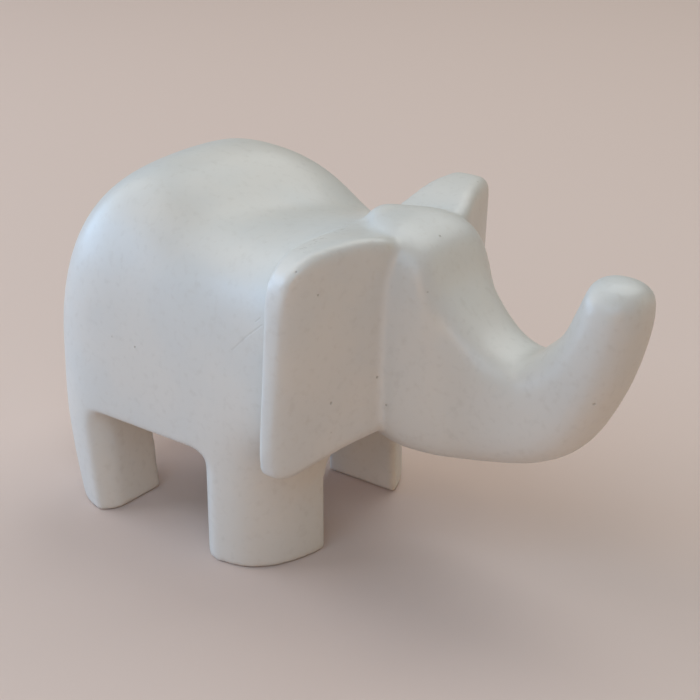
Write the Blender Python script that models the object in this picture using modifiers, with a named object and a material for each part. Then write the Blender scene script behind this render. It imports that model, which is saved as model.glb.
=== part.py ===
# A soapstone elephant figurine, carved from one block: a domed body on four short legs,
# slab ears that run straight across the head, and a thick trunk raised at its end.
# The elephant faces +X, its right side is at -Y, and its feet stand on Z = 0.
# Sizes below are in millimetres and become metres where the points are made.

import math

import bmesh
import bpy

MM = 0.001

# The model's origin lies on the floor under the middle of the figure's length
ORIGIN_X = 0.84

# Body and legs, seen as level contours from the feet to the top of the back
BODY_REAR = -66.5
BODY_FRONT = 19.6
LEG_FRONT = 3.2
CHEST_RISE = 18.0
HIDDEN_FRONT = 8.0
BODY_HALF_WIDTH = 31.0
BACK_TOP = 78.1
BACK_TOP_X = -36.6
DOME_START = 32.0
DOME_WIDTH_POWER = 3.1
DOME_REAR_POWER = 2.1
DOME_FRONT_POWER = 1.45

# Corners of those contours: at the legs, at the flanks above them, and growth up the dome
CORNER_REAR = (22.0, 40.2, -36.8)
CORNER_FRONT = (17.5, 18.0, 4.0)
REAR_SQUARENESS = (2.7, 3.8, -1.7)
FRONT_SQUARENESS = (2.5, 2.0, 0.2)
CHEST_SKEW = (0.07, 0.36, -0.6)
FLANK_RISE = 20.0
CORNER_REAR_SHARE = 0.6
CONTOUR_POINTS = 40
LEG_LEVELS = (2.0, 8.0, 14.0, 20.0, 24.5, 28.5)
DOME_LEVELS = 18
HIND_LEG_TAPER = 3.6
HIND_LEG_CURVE = 1.6
BELOW_FLOOR = -0.2

# Arch cut from side to side under the belly, and slot cut from end to end between the legs
BELLY_HEIGHT = 24.5
ARCH_REAR = -43.2
ARCH_REAR_LEAN = 2.4
ARCH_FRONT = -20.5
ARCH_FRONT_SPLAY = 3.4
ARCH_MOUTH_RADIUS = 6.0
ARCH_CORNER = 4.0
SLOT_RIGHT_REAR = -14.4
SLOT_RIGHT_FRONT = -12.4
SLOT_LEFT = 15.6
SLOT_HEIGHT = 23.0
SLOT_CORNER = 6.0
CUTTER_OVERHANG = 6.0
CORNER_STEPS = 4
ARCH_STEPS = 40

# Neck, head and trunk along the side profile: under x, under z, top x, top z, half width, squareness
HEAD_STEPS = 4
HEAD_STATIONS = (
    (1.0, 26.0, -3.5, 60.0, 22.0, 3.0),
    (7.0, 25.6, 6.0, 73.4, 6.0, 3.0),
    (13.0, 26.5, 11.0, 74.4, 11.0, 3.5),
    (20.2, 27.4, 18.2, 73.8, 13.9, 4.4),
    (27.4, 27.4, 24.7, 70.9, 12.8, 4.6),
    (33.5, 27.6, 29.0, 62.4, 10.7, 3.9),
    (41.0, 28.9, 36.5, 54.4, 9.9, 3.3),
    (49.4, 31.3, 43.7, 52.0, 9.6, 2.9),
    (57.1, 36.3, 48.3, 55.1, 9.3, 2.6),
    (63.2, 46.9, 52.6, 59.7, 9.0, 2.5),
    (67.1, 58.6, 55.3, 65.7, 8.4, 2.4),
    (68.1, 66.6, 56.6, 69.0, 7.5, 2.4),
    (66.8, 70.0, 57.3, 70.6, 5.0, 2.3),
    (64.0, 71.3, 59.8, 71.3, 2.2, 2.2),
)

# Ear board, whose foot lies further back and further out than its top
EAR_BACK = 4.6
EAR_LEAN = 1.4
EAR_FRONT_LEAN = 2.5
EAR_SPREAD = 1.2
EAR_TOP = 74.0
EAR_STEPS = 3

# Half of it, from the head outwards: y, back x behind EAR_BACK, front x, bottom z, drop of the
# top edge, radius of the front edges
EAR_STATIONS = (
    (0.0, 0.0, 20.4, 31.2, 3.0, 2.6),
    (8.0, 0.0, 20.4, 31.2, 2.6, 2.6),
    (14.0, 0.1, 19.7, 31.2, 1.5, 2.6),
    (20.0, 0.3, 17.5, 30.0, 0.3, 2.6),
    (27.0, 0.6, 14.9, 28.1, 0.1, 2.5),
    (31.2, 0.8, 13.2, 27.0, 0.9, 2.2),
    (33.9, 1.1, 11.7, 27.9, 3.4, 1.8),
    (35.1, 1.8, 10.3, 32.4, 9.5, 1.2),
)
EAR_BACK_EDGE = 1.1

# The top edges' shape at those stations: extra drop, and fall from the front to the back
LEFT_EAR_TOP = ((0.0, 0.0),) * len(EAR_STATIONS)
RIGHT_EAR_TOP = (
    (-0.8, 0.0),
    (-1.2, 0.4),
    (-1.9, 2.0),
    (-1.4, 2.4),
    (-0.6, 2.1),
    (0.4, 2.3),
    (0.7, 2.7),
    (0.2, 2.8),
)

# Neck between the body and the ears' back, fuller on the right, in sections across from rear
# to front: x, half width, top z, squareness
NECK_BOTTOM = 27.0
NECK_ROLL = 0.13
NECK_STATIONS = (
    (-30.0, 28.0, 72.0, 2.8),
    (-20.0, 29.0, 70.2, 2.7),
    (-12.0, 29.4, 69.2, 2.7),
    (-6.0, 29.7, 69.2, 2.7),
    (0.0, 29.9, 70.1, 2.65),
    (5.0, 30.2, 71.5, 2.6),
    (11.0, 30.2, 72.2, 2.6),
)
NECK_STEPS = 3

# Rounding of the body and neck before anything else is joined to them
BLOCK_FOOT = -14.0
BLOCK_VOXEL = 1.5
BLOCK_PASSES = 50

# Skin
VOXEL = 0.9
POLISH_STRENGTH = 0.5
POLISH_PASSES = 5
KEEP_TRIANGLES = 0.085
GROUND_SIZE = 200.0


def superellipse(angle, squareness):
    """Point of a unit superellipse at an angle."""
    power = 2.0 / squareness
    across = math.cos(angle)
    along = math.sin(angle)
    return (
        math.copysign(abs(across) ** power, across),
        math.copysign(abs(along) ** power, along),
    )


def dome(rise, power):
    """Share of the full reach that is left at a share of the dome's height."""
    return (1 - rise ** power) ** (1 / power)


def eased(height, reach):
    """Share of the way from the belly up to a reach above it, with a soft start and end."""
    share = min(1.0, max(0.0, (height - BELLY_HEIGHT) / reach))
    return share ** 2 * (3 - 2 * share)


def graded(values, flank, rise):
    """Value at the legs, blended into the flanks' own, which changes evenly up the dome."""
    legs, flanks, growth = values
    return legs + (flanks - legs) * flank + growth * rise


def body_contour(height):
    """Level outline of the uncut body at one height."""
    rise = max(0.0, (height - DOME_START) / (BACK_TOP - DOME_START))
    flank = eased(height, FLANK_RISE)
    half_width = BODY_HALF_WIDTH * dome(rise, DOME_WIDTH_POWER)
    rear = BACK_TOP_X - (BACK_TOP_X - BODY_REAR) * dome(rise, DOME_REAR_POWER)
    rear += HIND_LEG_TAPER * max(0.0, 1 - height / BELLY_HEIGHT) ** HIND_LEG_CURVE
    front_reach = LEG_FRONT + (BODY_FRONT - LEG_FRONT) * eased(height, CHEST_RISE)
    front = BACK_TOP_X + (front_reach - BACK_TOP_X) * dome(rise, DOME_FRONT_POWER)
    length = front - rear
    rear_corner = min(graded(CORNER_REAR, flank, rise), CORNER_REAR_SHARE * length)
    front_corner = min(graded(CORNER_FRONT, flank, rise), (1 - CORNER_REAR_SHARE) * length)
    skew = graded(CHEST_SKEW, flank, rise)
    points = []
    for step in range(CONTOUR_POINTS):
        angle = math.tau * (step + 0.5) / CONTOUR_POINTS
        if math.cos(angle) > 0:
            x, y = superellipse(angle, graded(FRONT_SQUARENESS, flank, rise))
            x = min(HIDDEN_FRONT, front - front_corner * (1 - x) - skew * half_width * y)
        else:
            x, y = superellipse(angle, graded(REAR_SQUARENESS, flank, rise))
            x = rear + rear_corner * (1 + x)
        points.append((x, half_width * y, height))
    return points


def rounded_section(half_width, half_height, front_radius, back_radius, steps=3):
    """Rounded rectangle about the origin, as (across, up) pairs."""
    pairs = []
    for side, up, start in ((1, 1, 0), (-1, 1, 90), (-1, -1, 180), (1, -1, 270)):
        radius = front_radius if side > 0 else back_radius
        for step in range(steps + 1):
            angle = math.radians(start + 90 * step / steps)
            across = side * (half_width - radius) + radius * math.cos(angle)
            rise = up * (half_height - radius) + radius * math.sin(angle)
            pairs.append((across, rise))
    return pairs


def smooth_stations(stations, steps):
    """Catmull-Rom values through the stations, with steps between each two."""
    first = [2 * a - b for a, b in zip(stations[0], stations[1])]
    last = [2 * a - b for a, b in zip(stations[-1], stations[-2])]
    run = [first, *stations, last]
    values = []
    for before, start, end, after in zip(run, run[1:], run[2:], run[3:]):
        for step in range(steps):
            t = step / steps
            value = []
            for p0, p1, p2, p3 in zip(before, start, end, after):
                slope = (p2 - p0) * t
                bend = (2 * p0 - 5 * p1 + 4 * p2 - p3) * t ** 2
                turn = (3 * p1 - p0 - 3 * p2 + p3) * t ** 3
                value.append(p1 + (slope + bend + turn) / 2)
            values.append(value)
    values.append(list(stations[-1]))
    return values


def head_section(under_x, under_z, top_x, top_z, half_width, squareness):
    """Section of the head or trunk between two points of its side profile."""
    middle_x = (under_x + top_x) / 2
    middle_z = (under_z + top_z) / 2
    points = []
    for step in range(CONTOUR_POINTS):
        across, up = superellipse(math.tau * (step + 0.5) / CONTOUR_POINTS, squareness)
        x = middle_x + up * (top_x - under_x) / 2
        z = middle_z + up * (top_z - under_z) / 2
        points.append((x, half_width * across, z))
    return points


def ear_section(y, back, front, bottom, top, radius, top_fall):
    """Section of the ear board at one distance across, further out and back at its foot."""
    points = []
    half_depth, half_height = (front - back) / 2, (top - bottom) / 2
    for across, rise in rounded_section(half_depth, half_height, radius, EAR_BACK_EDGE):
        fall = 0.5 - rise / (top - bottom)
        backward = 0.5 - across / (front - back)
        lean = EAR_FRONT_LEAN + (EAR_LEAN - EAR_FRONT_LEAN) * backward
        x = (front + back) / 2 + across - lean * fall
        spread = 1 + EAR_SPREAD * fall / EAR_STATIONS[-1][0]
        z = (top + bottom) / 2 + rise - top_fall * backward * (1 - fall)
        points.append((x, y * spread, z))
    return points


def quarter_round(radius):
    """Steps of a rounded corner, as (reach inwards, rise), from its wall to its crown."""
    pairs = []
    for step in range(CORNER_STEPS + 1):
        angle = math.pi / 2 * step / CORNER_STEPS
        pairs.append((radius * (1 - math.cos(angle)), radius * math.sin(angle)))
    return pairs


def arch_section(y):
    """Outline of the arch at one distance across: leaning walls under rounded corners."""
    inner_width = BODY_HALF_WIDTH - ARCH_MOUTH_RADIUS
    into_mouth = min(ARCH_MOUTH_RADIUS, max(0.0, abs(y) - inner_width))
    flare = ARCH_MOUTH_RADIUS - math.sqrt(ARCH_MOUTH_RADIUS ** 2 - into_mouth ** 2)
    front = ARCH_FRONT + ARCH_FRONT_SPLAY * min(1.0, abs(y) / inner_width) + flare
    rear = ARCH_REAR - flare
    shoulder = BELLY_HEIGHT - ARCH_CORNER
    rear_shoulder = rear - ARCH_REAR_LEAN
    foot = BELOW_FLOOR - CUTTER_OVERHANG
    points = [(rear, y, foot), (front, y, foot)]
    for reach, rise in quarter_round(ARCH_CORNER):
        points.append((front - reach, y, shoulder + rise))
    for reach, rise in reversed(quarter_round(ARCH_CORNER)):
        points.append((rear_shoulder + reach, y, shoulder + rise))
    return points


def slot_section(x, right):
    """Outline of the slot at one place along the body: round-topped, open below."""
    shoulder = SLOT_HEIGHT - SLOT_CORNER
    foot = BELOW_FLOOR - CUTTER_OVERHANG
    points = [(x, right, foot), (x, SLOT_LEFT, foot)]
    for reach, rise in quarter_round(SLOT_CORNER):
        points.append((x, SLOT_LEFT - reach, shoulder + rise))
    for reach, rise in reversed(quarter_round(SLOT_CORNER)):
        points.append((x, right + reach, shoulder + rise))
    return points


def finish(name, model, collection):
    """Turn a bmesh into an object in a collection."""
    mesh = bpy.data.meshes.new(name)
    model.to_mesh(mesh)
    model.free()
    result = bpy.data.objects.new(name, mesh)
    collection.objects.link(result)
    return result


def loft(name, rings, collection):
    """Closed mesh through rings that all have the same number of points."""
    model = bmesh.new()
    loops = []
    for ring in rings:
        loops.append([model.verts.new((x * MM, y * MM, z * MM)) for x, y, z in ring])
    count = len(loops[0])
    for lower, upper in zip(loops, loops[1:]):
        for index in range(count):
            after = (index + 1) % count
            model.faces.new((lower[index], lower[after], upper[after], upper[index]))
    model.faces.new(list(reversed(loops[0])))
    model.faces.new(loops[-1])
    bmesh.ops.recalc_face_normals(model, faces=model.faces)
    return finish(name, model, collection)


def boolean(target, helper, operation):
    """Join a helper to an object, or cut the object with it."""
    modifier = target.modifiers.new(operation.title() + " " + helper.name, "BOOLEAN")
    modifier.operation = operation
    modifier.solver = "EXACT"
    modifier.object = helper
    helper.hide_render = True
    helper.display_type = "WIRE"


def make_body(collection):
    heights = [BLOCK_FOOT, *LEG_LEVELS]
    for step in range(DOME_LEVELS):
        angle = math.pi / 2 * step / DOME_LEVELS
        heights.append(DOME_START + (BACK_TOP - DOME_START) * math.sin(angle))
    return loft("stone_elephant", [body_contour(height) for height in heights], collection)


def make_head(collection):
    rings = [head_section(*station) for station in smooth_stations(HEAD_STATIONS, HEAD_STEPS)]
    return loft("head_and_trunk", rings, collection)


def make_neck(collection):
    rings = []
    for x, half_width, top, squareness in smooth_stations(NECK_STATIONS, NECK_STEPS):
        height = top - NECK_BOTTOM
        ring = []
        for step in range(CONTOUR_POINTS):
            across, up = superellipse(math.tau * (step + 0.5) / CONTOUR_POINTS, squareness)
            y, share = half_width * across, (up + 1) / 2
            ring.append((x, y, NECK_BOTTOM + (height - NECK_ROLL * y) * share))
        rings.append(ring)
    return loft("neck", rings, collection)


def ear_half(side, top_shape):
    """Sections of one half of the ear board, from the head outwards."""
    stations = [(*station, *shape) for station, shape in zip(EAR_STATIONS, top_shape)]
    half = []
    for y, back, front, bottom, drop, radius, extra, fall in smooth_stations(stations, EAR_STEPS):
        top = EAR_TOP - drop - extra
        half.append(ear_section(side * y, back + EAR_BACK, front, bottom, top, radius, fall))
    return half


def make_ears(collection):
    right = ear_half(-1, RIGHT_EAR_TOP)
    left = ear_half(1, LEFT_EAR_TOP)
    return loft("ear_board", right[:0:-1] + left[1:], collection)


def make_arch(collection):
    reach = BODY_HALF_WIDTH + CUTTER_OVERHANG
    rings = []
    for step in range(ARCH_STEPS + 1):
        rings.append(arch_section(reach * (2 * step / ARCH_STEPS - 1)))
    return loft("arch_cutter", rings, collection)


def make_slot(collection):
    rings = [
        slot_section(BODY_REAR - CUTTER_OVERHANG, SLOT_RIGHT_REAR),
        slot_section(LEG_FRONT + CUTTER_OVERHANG, SLOT_RIGHT_FRONT),
    ]
    return loft("slot_cutter", rings, collection)


def make_ground(name, level, collection):
    """Block whose top face lies at a level, so that the feet end flat there."""
    size = GROUND_SIZE * MM
    model = bmesh.new()
    bmesh.ops.create_cube(model, size=size)
    bmesh.ops.translate(model, verts=model.verts, vec=(0, 0, level * MM - size / 2))
    return finish(name, model, collection)


def rounded(body, name, voxel, passes):
    """Even mesh over a shape, with its edges and ridges smoothed."""
    skin = body.modifiers.new(name + " grid", "REMESH")
    skin.mode = "VOXEL"
    skin.voxel_size = voxel * MM
    soften = body.modifiers.new(name + " rounding", "SMOOTH")
    soften.factor = POLISH_STRENGTH
    soften.iterations = passes


def polish(body):
    """Even, softly rounded skin over the joined shape."""
    rounded(body, "Skin", VOXEL, POLISH_PASSES)
    thin = body.modifiers.new("Fewer faces", "DECIMATE")
    thin.ratio = KEEP_TRIANGLES


def make_stone():
    stone = bpy.data.materials.new("cream soapstone")
    stone.use_nodes = True
    shader = stone.node_tree.nodes["Principled BSDF"]
    shader.inputs["Base Color"].default_value = (0.56, 0.54, 0.49, 1.0)
    shader.inputs["Roughness"].default_value = 0.42
    shader.inputs["Metallic"].default_value = 0.0
    return stone


def build_elephant():
    for item in list(bpy.data.objects):
        bpy.data.objects.remove(item, do_unlink=True)
    figure = bpy.data.collections.new("stone_elephant_figurine")
    cutters = bpy.data.collections.new("cutters")
    bpy.context.scene.collection.children.link(figure)
    bpy.context.scene.collection.children.link(cutters)

    body = make_body(figure)
    boolean(body, make_neck(cutters), "UNION")
    rounded(body, "Block", BLOCK_VOXEL, BLOCK_PASSES)
    boolean(body, make_ground("saw_cut", BELOW_FLOOR, cutters), "DIFFERENCE")
    boolean(body, make_head(cutters), "UNION")
    boolean(body, make_ears(cutters), "UNION")
    boolean(body, make_arch(cutters), "DIFFERENCE")
    boolean(body, make_slot(cutters), "DIFFERENCE")
    polish(body)
    boolean(body, make_ground("ground", 0.0, cutters), "DIFFERENCE")
    body.data.materials.append(make_stone())

    middle = bpy.data.objects.new("figure_middle", None)
    figure.objects.link(middle)
    middle.location.x = -ORIGIN_X * MM
    for item in [body, *cutters.objects]:
        item.parent = middle


build_elephant()
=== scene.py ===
import math

import bmesh
import bpy
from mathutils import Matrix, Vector


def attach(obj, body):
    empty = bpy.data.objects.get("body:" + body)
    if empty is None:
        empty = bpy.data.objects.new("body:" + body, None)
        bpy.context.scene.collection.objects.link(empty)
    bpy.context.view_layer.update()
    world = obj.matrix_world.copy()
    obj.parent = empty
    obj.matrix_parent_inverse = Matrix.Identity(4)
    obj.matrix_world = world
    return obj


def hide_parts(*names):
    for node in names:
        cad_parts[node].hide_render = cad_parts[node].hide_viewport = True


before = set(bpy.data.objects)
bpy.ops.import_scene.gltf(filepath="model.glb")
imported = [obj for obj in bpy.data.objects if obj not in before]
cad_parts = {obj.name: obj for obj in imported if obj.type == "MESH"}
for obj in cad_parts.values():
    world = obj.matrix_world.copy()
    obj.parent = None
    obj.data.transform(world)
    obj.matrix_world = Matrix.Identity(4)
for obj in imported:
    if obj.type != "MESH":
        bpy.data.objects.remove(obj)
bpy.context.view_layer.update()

# soapstone elephant, carved from one block: head towards +X, right side towards -Y, feet on Z = 0
# sizes are in millimetres from the carver's own zero, and makeElephant's last move brings them to the frame's
mm = 0.001


def pickNothing():
    if bpy.context.object and bpy.context.object.mode != "OBJECT":
        bpy.ops.object.mode_set(mode="OBJECT")
    bpy.ops.object.select_all(action="DESELECT")


def pick(piece):
    pickNothing()
    piece.select_set(True)
    bpy.context.view_layer.objects.active = piece


def applyModifier(piece, kind, **values):
    pick(piece)
    bpy.ops.object.modifier_add(type=kind)
    modifier = piece.modifiers[-1]
    for name, value in values.items():
        setattr(modifier, name, value)
    bpy.ops.object.modifier_apply(modifier=modifier.name)


def pullThrough(name, sections):
    # a disc is laid in the first section, then extruded and laid in each next one
    pickNothing()
    bpy.ops.mesh.primitive_circle_add(vertices=len(sections[0]), radius=mm, fill_type="NGON")
    piece = bpy.context.object
    piece.name = name
    bpy.ops.object.mode_set(mode="EDIT")
    bpy.ops.mesh.select_mode(type="FACE")
    bpy.ops.mesh.select_all(action="SELECT")
    for number, section in enumerate(sections):
        if number:
            bpy.ops.mesh.extrude_region_move()
        mesh = bmesh.from_edit_mesh(piece.data)
        endFace = next(face for face in mesh.faces if face.select)
        for corner, place in zip(endFace.verts, section):
            corner.co = Vector(place) * mm
        bmesh.update_edit_mesh(piece.data)
    bpy.ops.mesh.select_all(action="SELECT")
    bpy.ops.mesh.normals_make_consistent(inside=False)
    bpy.ops.object.mode_set(mode="OBJECT")
    pick(piece)
    bpy.ops.object.transform_apply(location=True, rotation=True, scale=True)
    return piece


def squareRound(turn, squareness):       # point of a unit circle pressed towards a square
    across, up = math.cos(turn), math.sin(turn)
    power = 2 / squareness
    return math.copysign(abs(across) ** power, across), math.copysign(abs(up) ** power, up)


def smoothRun(stations, steps):          # values on a smooth curve through the stations
    first = [2 * a - b for a, b in zip(stations[0], stations[1])]
    last = [2 * a - b for a, b in zip(stations[-1], stations[-2])]
    run = [first, *stations, last]
    values = []
    for before, start, end, after in zip(run, run[1:], run[2:], run[3:]):
        for step in range(steps):
            t = step / steps
            values.append([
                p1 + ((p2 - p0) * t
                      + (2 * p0 - 5 * p1 + 4 * p2 - p3) * t ** 2
                      + (3 * p1 - p0 - 3 * p2 + p3) * t ** 3) / 2
                for p0, p1, p2, p3 in zip(before, start, end, after)
            ])
    values.append(list(stations[-1]))
    return values


def cornerArc(radius, steps):            # reach inwards and rise of a rounded corner
    turns = [math.pi / 2 * step / steps for step in range(steps + 1)]
    return [(radius * (1 - math.cos(turn)), radius * math.sin(turn)) for turn in turns]


body = {
    "rear": -66.5, "chest": 19.6, "legFront": 3.2, "hiddenFront": 8.0, "halfWidth": 31.0,
    "backTop": 78.1, "backTopX": -36.6, "domeStart": 32.0,
    "widthPower": 3.1, "rearPower": 2.1, "frontPower": 1.45,     # fullness of the dome each way
    # at the legs, at the flanks above them, and growth up the dome
    "rearCorner": (22.0, 40.2, -36.8), "frontCorner": (17.5, 18.0, 4.0),
    "rearSquareness": (2.7, 3.8, -1.7), "frontSquareness": (2.5, 2.0, 0.2), "skew": (0.07, 0.36, -0.6),
    "flankRise": 20.0, "chestRise": 18.0, "rearShare": 0.6,
    "bellyHeight": 24.5, "hindTaper": 3.6, "taperCurve": 1.6,
    "foot": -14.0, "belowFloor": -0.2, "around": 96, "legLevels": 18, "domeLevels": 50,
    "grain": 1.5, "strength": 0.5, "passes": 50,                 # rounding of the block before it is cut
}


def fullness(rise, power):               # share of the full width left at a rise up the dome
    return (1 - rise ** power) ** (1 / power)


def eased(height, reach):                # soft start and end of the change above the belly
    share = min(1.0, max(0.0, (height - body["bellyHeight"]) / reach))
    return share ** 2 * (3 - 2 * share)


def graded(name, flank, rise):
    legs, flanks, growth = body[name]
    return legs + (flanks - legs) * flank + growth * rise


def bodyOutline(height):
    rise = max(0.0, (height - body["domeStart"]) / (body["backTop"] - body["domeStart"]))
    flank = eased(height, body["flankRise"])
    halfWidth = body["halfWidth"] * fullness(rise, body["widthPower"])
    middle = body["backTopX"]
    rear = middle - (middle - body["rear"]) * fullness(rise, body["rearPower"])
    rear += body["hindTaper"] * max(0.0, 1 - height / body["bellyHeight"]) ** body["taperCurve"]
    reach = body["legFront"] + (body["chest"] - body["legFront"]) * eased(height, body["chestRise"])
    front = middle + (reach - middle) * fullness(rise, body["frontPower"])
    length = front - rear
    rearCorner = min(graded("rearCorner", flank, rise), body["rearShare"] * length)
    frontCorner = min(graded("frontCorner", flank, rise), (1 - body["rearShare"]) * length)
    skew = graded("skew", flank, rise) * halfWidth
    outline = []
    for step in range(body["around"]):
        turn = math.tau * (step + 0.5) / body["around"]
        if math.cos(turn) > 0:
            x, y = squareRound(turn, graded("frontSquareness", flank, rise))
            x = min(body["hiddenFront"], front - frontCorner * (1 - x) - skew * y)
        else:
            x, y = squareRound(turn, graded("rearSquareness", flank, rise))
            x = rear + rearCorner * (1 + x)
        outline.append((x, halfWidth * y, height))
    return outline


def makeBody():
    legs = body["domeStart"] - body["foot"]
    heights = [body["foot"] + legs * step / body["legLevels"] for step in range(body["legLevels"])]
    for step in range(body["domeLevels"]):
        rise = math.sin(math.pi / 2 * step / body["domeLevels"])
        heights.append(body["domeStart"] + (body["backTop"] - body["domeStart"]) * rise)
    return pullThrough("soapstoneElephant", [bodyOutline(height) for height in heights])


# fuller on the right; x, half width, top z, squareness
neck = {
    "bottom": 27.0, "roll": 0.13,
    "stations": [
        (-30.0, 28.0, 72.0, 2.8),
        (-20.0, 29.0, 70.2, 2.7),
        (-12.0, 29.4, 69.2, 2.7),
        (-6.0, 29.7, 69.2, 2.7),
        (0.0, 29.9, 70.1, 2.65),
        (5.0, 30.2, 71.5, 2.6),
        (11.0, 30.2, 72.2, 2.6),
    ],
    "steps": 6, "around": 96,
}


def neckSection(x, halfWidth, top, squareness):
    section = []
    for step in range(neck["around"]):
        across, up = squareRound(math.tau * (step + 0.5) / neck["around"], squareness)
        y, share = halfWidth * across, (up + 1) / 2
        section.append((x, y, neck["bottom"] + (top - neck["bottom"] - neck["roll"] * y) * share))
    return section


def makeNeck():
    stations = smoothRun(neck["stations"], neck["steps"])
    return pullThrough("neck", [neckSection(*station) for station in stations])


# under x, under z, top x, top z, half width, squareness, along the side of the head and trunk
head = {
    "stations": [
        (1.0, 26.0, -3.5, 60.0, 22.0, 3.0),
        (7.0, 25.6, 6.0, 73.4, 6.0, 3.0),
        (13.0, 26.5, 11.0, 74.4, 11.0, 3.5),
        (20.2, 27.4, 18.2, 73.8, 13.9, 4.4),
        (27.4, 27.4, 24.7, 70.9, 12.8, 4.6),
        (33.5, 27.6, 29.0, 62.4, 10.7, 3.9),
        (41.0, 28.9, 36.5, 54.4, 9.9, 3.3),
        (49.4, 31.3, 43.7, 52.0, 9.6, 2.9),
        (57.1, 36.3, 48.3, 55.1, 9.3, 2.6),
        (63.2, 46.9, 52.6, 59.7, 9.0, 2.5),
        (67.1, 58.6, 55.3, 65.7, 8.4, 2.4),
        (68.1, 66.6, 56.6, 69.0, 7.5, 2.4),
        (66.8, 70.0, 57.3, 70.6, 5.0, 2.3),
        (64.0, 71.3, 59.8, 71.3, 2.2, 2.2),
    ],
    "steps": 10, "around": 96,
}


def headSection(underX, underZ, topX, topZ, halfWidth, squareness):
    section = []
    for step in range(head["around"]):
        across, up = squareRound(math.tau * (step + 0.5) / head["around"], squareness)
        x = (underX + topX + up * (topX - underX)) / 2
        z = (underZ + topZ + up * (topZ - underZ)) / 2
        section.append((x, halfWidth * across, z))
    return section


def makeHead():
    stations = smoothRun(head["stations"], head["steps"])
    return pullThrough("headAndTrunk", [headSection(*station) for station in stations])


# y, back x behind the board's back, front x, bottom z, drop of the top edge, radius of the front edges
ears = {
    "back": 4.6, "lean": 1.4, "frontLean": 2.5, "spread": 1.2, "top": 74.0, "backEdge": 1.1,
    "stations": [
        (0.0, 0.0, 20.4, 31.2, 3.0, 2.6),
        (8.0, 0.0, 20.4, 31.2, 2.6, 2.6),
        (14.0, 0.1, 19.7, 31.2, 1.5, 2.6),
        (20.0, 0.3, 17.5, 30.0, 0.3, 2.6),
        (27.0, 0.6, 14.9, 28.1, 0.1, 2.5),
        (31.2, 0.8, 13.2, 27.0, 0.9, 2.2),
        (33.9, 1.1, 11.7, 27.9, 3.4, 1.8),
        (35.1, 1.8, 10.3, 32.4, 9.5, 1.2),
    ],
    # shape of the top edge at those stations: extra drop, and fall from front to back
    "leftTop": [(0.0, 0.0)] * 8,
    "rightTop": [
        (-0.8, 0.0), (-1.2, 0.4), (-1.9, 2.0), (-1.4, 2.4),
        (-0.6, 2.1), (0.4, 2.3), (0.7, 2.7), (0.2, 2.8),
    ],
    "steps": 6, "cornerSteps": 6,
}


def earSection(y, back, front, bottom, drop, radius, topFall):
    back, top = back + ears["back"], ears["top"] - drop
    halfDepth, halfHeight = (front - back) / 2, (top - bottom) / 2
    outline = []
    for side, up, start in ((1, 1, 0), (-1, 1, 90), (-1, -1, 180), (1, -1, 270)):
        edge = radius if side > 0 else ears["backEdge"]
        for step in range(ears["cornerSteps"] + 1):
            turn = math.radians(start + 90 * step / ears["cornerSteps"])
            across = side * (halfDepth - edge) + edge * math.cos(turn)
            rise = up * (halfHeight - edge) + edge * math.sin(turn)
            outline.append((across, rise))
    section = []
    for across, rise in outline:
        fall = 0.5 - rise / (2 * halfHeight)
        backward = 0.5 - across / (front - back)
        lean = ears["frontLean"] + (ears["lean"] - ears["frontLean"]) * backward
        spread = 1 + ears["spread"] * fall / ears["stations"][-1][0]
        section.append(((front + back) / 2 + across - lean * fall, y * spread,
                        (top + bottom) / 2 + rise - topFall * backward * (1 - fall)))
    return section


def earHalf(side, topShape):
    stations = [(*station, *shape) for station, shape in zip(ears["stations"], topShape)]
    half = []
    for y, back, front, bottom, drop, radius, extra, fall in smoothRun(stations, ears["steps"]):
        half.append(earSection(side * y, back, front, bottom, drop + extra, radius, fall))
    return half


def makeEars():
    right, left = earHalf(-1, ears["rightTop"]), earHalf(1, ears["leftTop"])
    return pullThrough("earBoard", right[:0:-1] + left[1:])


# arch under the belly from side to side, and slot between the legs from end to end
cuts = {
    "archRear": -43.2, "rearLean": 2.4, "archFront": -20.5, "frontSplay": 3.4,
    "mouthRadius": 6.0, "archCorner": 4.0, "archSteps": 120,
    "slotRightRear": -14.4, "slotRightFront": -12.4, "slotLeft": 15.6,
    "slotHeight": 23.0, "slotCorner": 6.0, "overhang": 6.0, "cornerSteps": 8,
}


def archSection(y):
    innerWidth = body["halfWidth"] - cuts["mouthRadius"]
    intoMouth = min(cuts["mouthRadius"], max(0.0, abs(y) - innerWidth))
    flare = cuts["mouthRadius"] - math.sqrt(cuts["mouthRadius"] ** 2 - intoMouth ** 2)
    front = cuts["archFront"] + cuts["frontSplay"] * min(1.0, abs(y) / innerWidth) + flare
    rear = cuts["archRear"] - flare
    foot = body["belowFloor"] - cuts["overhang"]
    shoulder = body["bellyHeight"] - cuts["archCorner"]
    arc = cornerArc(cuts["archCorner"], cuts["cornerSteps"])
    section = [(rear, y, foot), (front, y, foot)]
    section += [(front - reach, y, shoulder + rise) for reach, rise in arc]
    section += [(rear - cuts["rearLean"] + reach, y, shoulder + rise) for reach, rise in reversed(arc)]
    return section


def slotSection(x, right):
    foot = body["belowFloor"] - cuts["overhang"]
    shoulder = cuts["slotHeight"] - cuts["slotCorner"]
    arc = cornerArc(cuts["slotCorner"], cuts["cornerSteps"])
    section = [(x, right, foot), (x, cuts["slotLeft"], foot)]
    section += [(x, cuts["slotLeft"] - reach, shoulder + rise) for reach, rise in arc]
    section += [(x, right + reach, shoulder + rise) for reach, rise in reversed(arc)]
    return section


def makeArchTool():
    reach = body["halfWidth"] + cuts["overhang"]
    places = [reach * (2 * step / cuts["archSteps"] - 1) for step in range(cuts["archSteps"] + 1)]
    return pullThrough("archTool", [archSection(y) for y in places])


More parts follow.
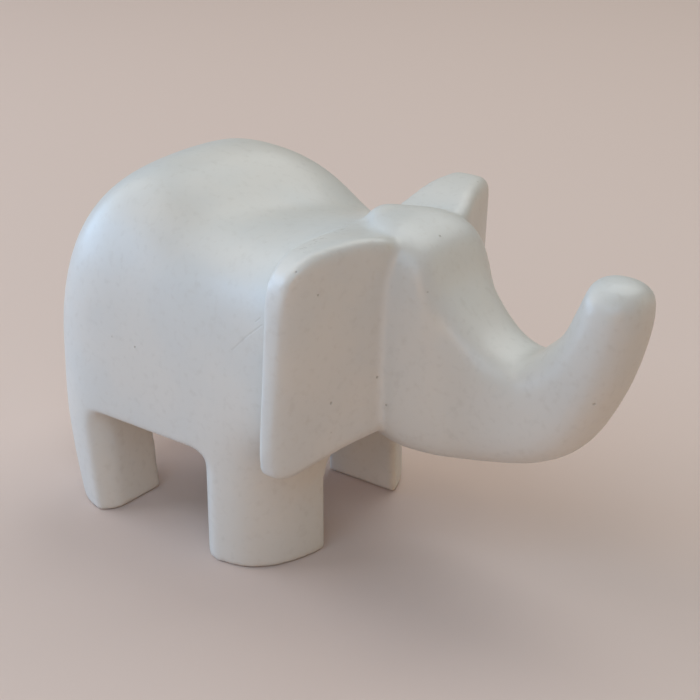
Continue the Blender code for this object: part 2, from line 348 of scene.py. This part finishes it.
def makeSlotTool():
    return pullThrough("slotTool", [
        slotSection(body["rear"] - cuts["overhang"], cuts["slotRightRear"]),
        slotSection(body["legFront"] + cuts["overhang"], cuts["slotRightFront"]),
    ])


def combine(piece, tool, operation):
    applyModifier(piece, "BOOLEAN", operation=operation, solver="EXACT", object=tool)
    pick(tool)
    bpy.ops.object.delete()


polish = {"grain": 0.64, "strength": 0.5, "passes": 10, "groundSize": 200.0}
figureMiddle = 0.84                      # x of the figure's middle in the carver's own measure


def makeGround(level):
    pickNothing()
    size = polish["groundSize"]
    bpy.ops.mesh.primitive_cube_add(size=size * mm, location=(0, 0, (level - size / 2) * mm))
    return bpy.context.object


def makeElephant():
    piece = makeBody()
    combine(piece, makeNeck(), "UNION")
    applyModifier(piece, "REMESH", mode="VOXEL", voxel_size=body["grain"] * mm)
    applyModifier(piece, "SMOOTH", factor=body["strength"], iterations=body["passes"])
    combine(piece, makeGround(body["belowFloor"]), "DIFFERENCE")
    combine(piece, makeHead(), "UNION")
    combine(piece, makeEars(), "UNION")
    combine(piece, makeArchTool(), "DIFFERENCE")
    combine(piece, makeSlotTool(), "DIFFERENCE")
    print("carved the block:", len(piece.data.polygons), "faces")
    applyModifier(piece, "REMESH", mode="VOXEL", voxel_size=polish["grain"] * mm)
    applyModifier(piece, "SMOOTH", factor=polish["strength"], iterations=polish["passes"])
    combine(piece, makeGround(0.0), "DIFFERENCE")
    pick(piece)
    bpy.ops.transform.translate(value=(-figureMiddle * mm, 0, 0))
    bpy.ops.object.transform_apply(location=True, rotation=True, scale=True)
    bpy.ops.object.shade_smooth()
    print("polished the stone:", len(piece.data.polygons), "faces")
    return piece


# waxed soapstone; sizes in millimetres, patterns per metre, and edges say where a mark starts and is full
stone = {
    "cream": (0.640, 0.615, 0.575), "dark": (0.20, 0.17, 0.14),
    "cloud": (0.605, 0.597, 0.572), "cloudScale": 34, "cloudEdges": (0.38, 0.62),
    "fleck": (0.50, 0.47, 0.43), "fleckScale": 620, "fleckEdges": (0.50, 0.82), "fleckShade": 0.30,
    "speckScale": 150, "speckChance": (0.80, 0.84), "speckSize": 0.035, "speckRim": 0.03,
    "speckShade": 0.30, "speckDepth": 0.04,
    "gloss": (0.36, 0.46), "glossScale": 55, "glossEdges": (0.3, 0.7), "holeDullness": 0.25,
    "waxWeight": 0.12, "waxRoughness": 0.22,
    "handWave": 0.045, "waveScale": 95, "grain": 0.012, "grainScale": 2400,
    # small holes in the polish: x, y, z, radius
    "pitShade": 0.38, "pitDepth": 0.12, "pitEdges": (0.4, 1.25),
    "pits": [
        (10.98, -32.13, 71.18, 0.24), (13.16, -28.36, 65.89, 0.24), (17.07, -14.79, 45.01, 0.29),
        (13.33, -24.79, 42.08, 0.32), (18.51, -13.66, 38.87, 0.29), (61.13, -6.92, 48.97, 0.34),
        (22.51, -1.81, 71.97, 0.26), (-33.37, -30.79, 43.62, 0.26),
    ],
    # fine lines on the flank: from, to, half width
    "scratchShade": 0.10, "scratchDepth": 0.025, "scratchEdges": (0.4, 1.8),
    "scratches": [
        ((-7.12, -30.23, 49.81), (-3.56, -29.71, 53.57), 0.20),
        ((-3.56, -29.71, 53.57), (0.08, -29.39, 56.74), 0.17),
        ((-1.70, -29.30, 56.90), (-0.62, -29.12, 57.94), 0.13),
    ],
    # tool marks behind the right ear's top: from, to, reach
    "chatterShade": 0.16, "chatterDepth": 0.05, "chatterEdges": (0.3, 1.0),
    "chatter": ((8.5, -26.7, 73.3), (4.3, -6.2, 71.9), 2.2),
    "nickScale": 1100, "nickEdges": (0.58, 0.68),
}


def feed(tree, socket, value):           # a link where the value comes from a node, else a fixed value
    if isinstance(value, bpy.types.NodeSocket):
        tree.links.new(value, socket)
    else:
        socket.default_value = value


def calculate(tree, operation, first, second=0.0):
    node = tree.nodes.new("ShaderNodeMath")
    node.operation = operation
    feed(tree, node.inputs[0], first)
    feed(tree, node.inputs[1], second)
    return node.outputs["Value"]


def noisePattern(tree, place, scale, detail):
    node = tree.nodes.new("ShaderNodeTexNoise")
    feed(tree, node.inputs["Vector"], place)
    node.inputs["Scale"].default_value = scale
    node.inputs["Detail"].default_value = detail
    return node.outputs["Fac"]


def spread(tree, value, low, high, start, end):          # smooth step from low-high to start-end
    node = tree.nodes.new("ShaderNodeMapRange")
    node.interpolation_type = "SMOOTHSTEP"
    for name, number in {"From Min": low, "From Max": high, "To Min": start, "To Max": end}.items():
        node.inputs[name].default_value = number
    feed(tree, node.inputs["Value"], value)
    return node.outputs["Result"]


def blend(tree, share, first, second):   # inputs 6 and 7 and output 2 are the node's colour sockets
    node = tree.nodes.new("ShaderNodeMix")
    node.data_type = "RGBA"
    feed(tree, node.inputs[0], share)
    feed(tree, node.inputs[6], first if isinstance(first, bpy.types.NodeSocket) else (*first, 1))
    feed(tree, node.inputs[7], (*second, 1))
    return node.outputs[2]


def awayFrom(tree, place, spot):         # distance in millimetres
    node = tree.nodes.new("ShaderNodeVectorMath")
    node.operation = "DISTANCE"
    feed(tree, node.inputs[0], place)
    feed(tree, node.inputs[1], spot)
    return calculate(tree, "MULTIPLY", node.outputs["Value"], 1 / mm)


def awayFromLine(tree, place, start, end):               # distance from a straight mark, in millimetres
    start, end = Vector(start) * mm, Vector(end) * mm
    offset = tree.nodes.new("ShaderNodeVectorMath")
    offset.operation = "SUBTRACT"
    feed(tree, offset.inputs[0], place)
    feed(tree, offset.inputs[1], start)
    along = tree.nodes.new("ShaderNodeVectorMath")
    along.operation = "DOT_PRODUCT"
    feed(tree, along.inputs[0], offset.outputs["Vector"])
    feed(tree, along.inputs[1], (end - start).normalized())
    reach = tree.nodes.new("ShaderNodeClamp")
    reach.inputs["Max"].default_value = (end - start).length
    feed(tree, reach.inputs["Value"], along.outputs["Value"])
    foot = tree.nodes.new("ShaderNodeVectorMath")
    foot.operation = "SCALE"
    feed(tree, foot.inputs[0], (end - start).normalized())
    feed(tree, foot.inputs["Scale"], reach.outputs["Result"])
    return awayFrom(tree, offset.outputs["Vector"], foot.outputs["Vector"])


def makeStone():
    paint = bpy.data.materials.new("creamSoapstone")
    paint.use_nodes = True
    tree = paint.node_tree
    shader = tree.nodes["Principled BSDF"]
    place = tree.nodes.new("ShaderNodeTexCoord").outputs["Object"]

    # cloudy cream stone with fine flecks
    clouds = noisePattern(tree, place, stone["cloudScale"], 4)
    flecks = noisePattern(tree, place, stone["fleckScale"], 2)
    colour = blend(tree, spread(tree, clouds, *stone["cloudEdges"], 0, 1), stone["cream"], stone["cloud"])
    flecks = spread(tree, flecks, *stone["fleckEdges"], 0, stone["fleckShade"])
    colour = blend(tree, flecks, colour, stone["fleck"])

    # a few dark specks, each in the middle of its own cell
    cells = tree.nodes.new("ShaderNodeTexVoronoi")
    feed(tree, cells.inputs["Vector"], place)
    cells.inputs["Scale"].default_value = stone["speckScale"]
    chance = tree.nodes.new("ShaderNodeSeparateColor")
    tree.links.new(cells.outputs["Color"], chance.inputs["Color"])
    rare = spread(tree, chance.outputs["Red"], *stone["speckChance"], 0, 1)
    size = calculate(tree, "MULTIPLY", chance.outputs["Green"], stone["speckSize"])
    beyond = calculate(tree, "SUBTRACT", cells.outputs["Distance"], size)
    specks = calculate(tree, "MULTIPLY", rare, spread(tree, beyond, 0.0, stone["speckRim"], 1, 0))

    # marks at their own places: pits, scratches and tool marks
    pits = 0.0
    inner, outer = stone["pitEdges"]
    for x, y, z, radius in stone["pits"]:
        away = awayFrom(tree, place, Vector((x, y, z)) * mm)
        pit = spread(tree, away, radius * inner, radius * outer, 1, 0)
        pits = calculate(tree, "MAXIMUM", pits, pit)
    lines = 0.0
    inner, outer = stone["scratchEdges"]
    for start, end, halfWidth in stone["scratches"]:
        away = awayFromLine(tree, place, start, end)
        line = spread(tree, away, halfWidth * inner, halfWidth * outer, 1, 0)
        lines = calculate(tree, "MAXIMUM", lines, line)
    inner, outer = stone["chatterEdges"]
    start, end, reach = stone["chatter"]
    near = spread(tree, awayFromLine(tree, place, start, end), reach * inner, reach * outer, 1, 0)
    nicks = spread(tree, noisePattern(tree, place, stone["nickScale"], 1), *stone["nickEdges"], 0, 1)
    chatter = calculate(tree, "MULTIPLY", near, nicks)

    for mask, shade in (
        (specks, stone["speckShade"]), (pits, stone["pitShade"]),
        (lines, stone["scratchShade"]), (chatter, stone["chatterShade"]),
    ):
        colour = blend(tree, calculate(tree, "MULTIPLY", mask, shade), colour, stone["dark"])
    tree.links.new(colour, shader.inputs["Base Color"])

    # hand polish: unevenly glossy, duller in the holes
    gloss = noisePattern(tree, place, stone["glossScale"], 3)
    gloss = spread(tree, gloss, *stone["glossEdges"], *stone["gloss"])
    dull = calculate(tree, "MULTIPLY", calculate(tree, "MAXIMUM", pits, chatter), stone["holeDullness"])
    tree.links.new(calculate(tree, "ADD", gloss, dull), shader.inputs["Roughness"])
    shader.inputs["Coat Weight"].default_value = stone["waxWeight"]
    shader.inputs["Coat Roughness"].default_value = stone["waxRoughness"]

    # heights in millimetres
    relief = calculate(tree, "MULTIPLY", noisePattern(tree, place, stone["waveScale"], 2), stone["handWave"])
    grain = calculate(tree, "MULTIPLY", noisePattern(tree, place, stone["grainScale"], 2), stone["grain"])
    relief = calculate(tree, "ADD", relief, grain)
    for mask, depth in (
        (pits, stone["pitDepth"]), (specks, stone["speckDepth"]),
        (lines, stone["scratchDepth"]), (chatter, stone["chatterDepth"]),
    ):
        relief = calculate(tree, "SUBTRACT", relief, calculate(tree, "MULTIPLY", mask, depth))
    bump = tree.nodes.new("ShaderNodeBump")
    bump.inputs["Distance"].default_value = mm
    feed(tree, bump.inputs["Height"], relief)
    tree.links.new(bump.outputs["Normal"], shader.inputs["Normal"])
    print("mixed the soapstone:", len(tree.nodes), "nodes")
    return paint


elephant = makeElephant()
elephant.data.materials.clear()
elephant.data.materials.append(makeStone())
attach(elephant, "root")
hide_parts("stone_elephant")

studio = {
    "cameraPlace": (194.96, -258.0, 185.0), "lookAlong": (-0.5523, 0.7276, -0.4067),
    "lens": 86.66, "sensor": 36, "clipStart": 0.01,
    "floorSize": 3.0, "floorDrop": 0.2, "floorColour": (0.66, 0.525, 0.465), "floorRoughness": 0.6,
    "skyColour": (1.0, 0.93, 0.76), "skyStrength": 0.16,
    "aim": (0, 0, 40), "lampDistance": 1.0, "lampClearance": 0.01,
    "lamps": {
        # turned from +X towards +Y, height angle, width, height in metres, watts, colour
        "lowWindow": (203, 9, 0.9, 0.5, 7.1, (0.46, 0.69, 1.0)),
        "highWindow": (196, 46, 0.9, 0.8, 3.5, (1.0, 0.9, 0.77)),
        "skylight": (90, 56, 0.9, 0.8, 4.6, (0.93, 0.98, 1.0)),
        "frontSheet": (293, 42, 0.9, 0.7, 3.9, (0.47, 0.74, 1.0)),
        "warmSheet": (315, 8, 0.7, 0.5, 1.7, (1.0, 0.52, 0.17)),
        "farSheet": (45, 8, 0.6, 0.5, 0.6, (1.0, 0.87, 0.57)),
    },
}


def makeFloor():
    pickNothing()
    drop = studio["floorDrop"] * mm      # keeps the floor and the flat soles apart
    bpy.ops.mesh.primitive_plane_add(size=studio["floorSize"], location=(0, 0, -drop))
    floor = bpy.context.object
    floor.name = "paleFloor"
    paint = bpy.data.materials.new("paleFloor")
    paint.use_nodes = True
    shader = paint.node_tree.nodes["Principled BSDF"]
    shader.inputs["Base Color"].default_value = (*studio["floorColour"], 1)
    shader.inputs["Roughness"].default_value = studio["floorRoughness"]
    floor.data.materials.append(paint)


def makeLamps():
    world = bpy.data.worlds.new("softRoom")
    world.use_nodes = True
    sky = world.node_tree.nodes["Background"]
    sky.inputs["Color"].default_value = (*studio["skyColour"], 1)
    sky.inputs["Strength"].default_value = studio["skyStrength"]
    bpy.context.scene.world = world
    aim = Vector(studio["aim"]) * mm
    for name, (turn, height, width, tall, watts, colour) in studio["lamps"].items():
        turn, height = math.radians(turn), math.radians(height)
        level = math.cos(height)
        towards = Vector((math.cos(turn) * level, math.sin(turn) * level, math.sin(height)))
        place = aim + towards * studio["lampDistance"]
        place.z = max(place.z, tall / 2 + studio["lampClearance"])
        bpy.ops.object.light_add(type="AREA", location=place)
        lamp = bpy.context.object
        lamp.name = name
        lamp.data.shape = "RECTANGLE"
        lamp.data.size = width
        lamp.data.size_y = tall
        lamp.data.energy = watts
        lamp.data.color = colour
        lamp.rotation_euler = (aim - place).to_track_quat("-Z", "Y").to_euler()


def makeCamera():
    bpy.ops.object.camera_add(location=Vector(studio["cameraPlace"]) * mm)
    camera = bpy.context.object
    camera.name = "photoCamera"
    camera.rotation_euler = Vector(studio["lookAlong"]).to_track_quat("-Z", "Y").to_euler()
    camera.data.lens = studio["lens"]
    camera.data.sensor_width = studio["sensor"]
    camera.data.clip_start = studio["clipStart"]
    bpy.context.scene.camera = camera
    bpy.context.scene.view_settings.view_transform = "Standard"


makeFloor()
makeLamps()
makeCamera()
print("set up the floor, lamps and camera")
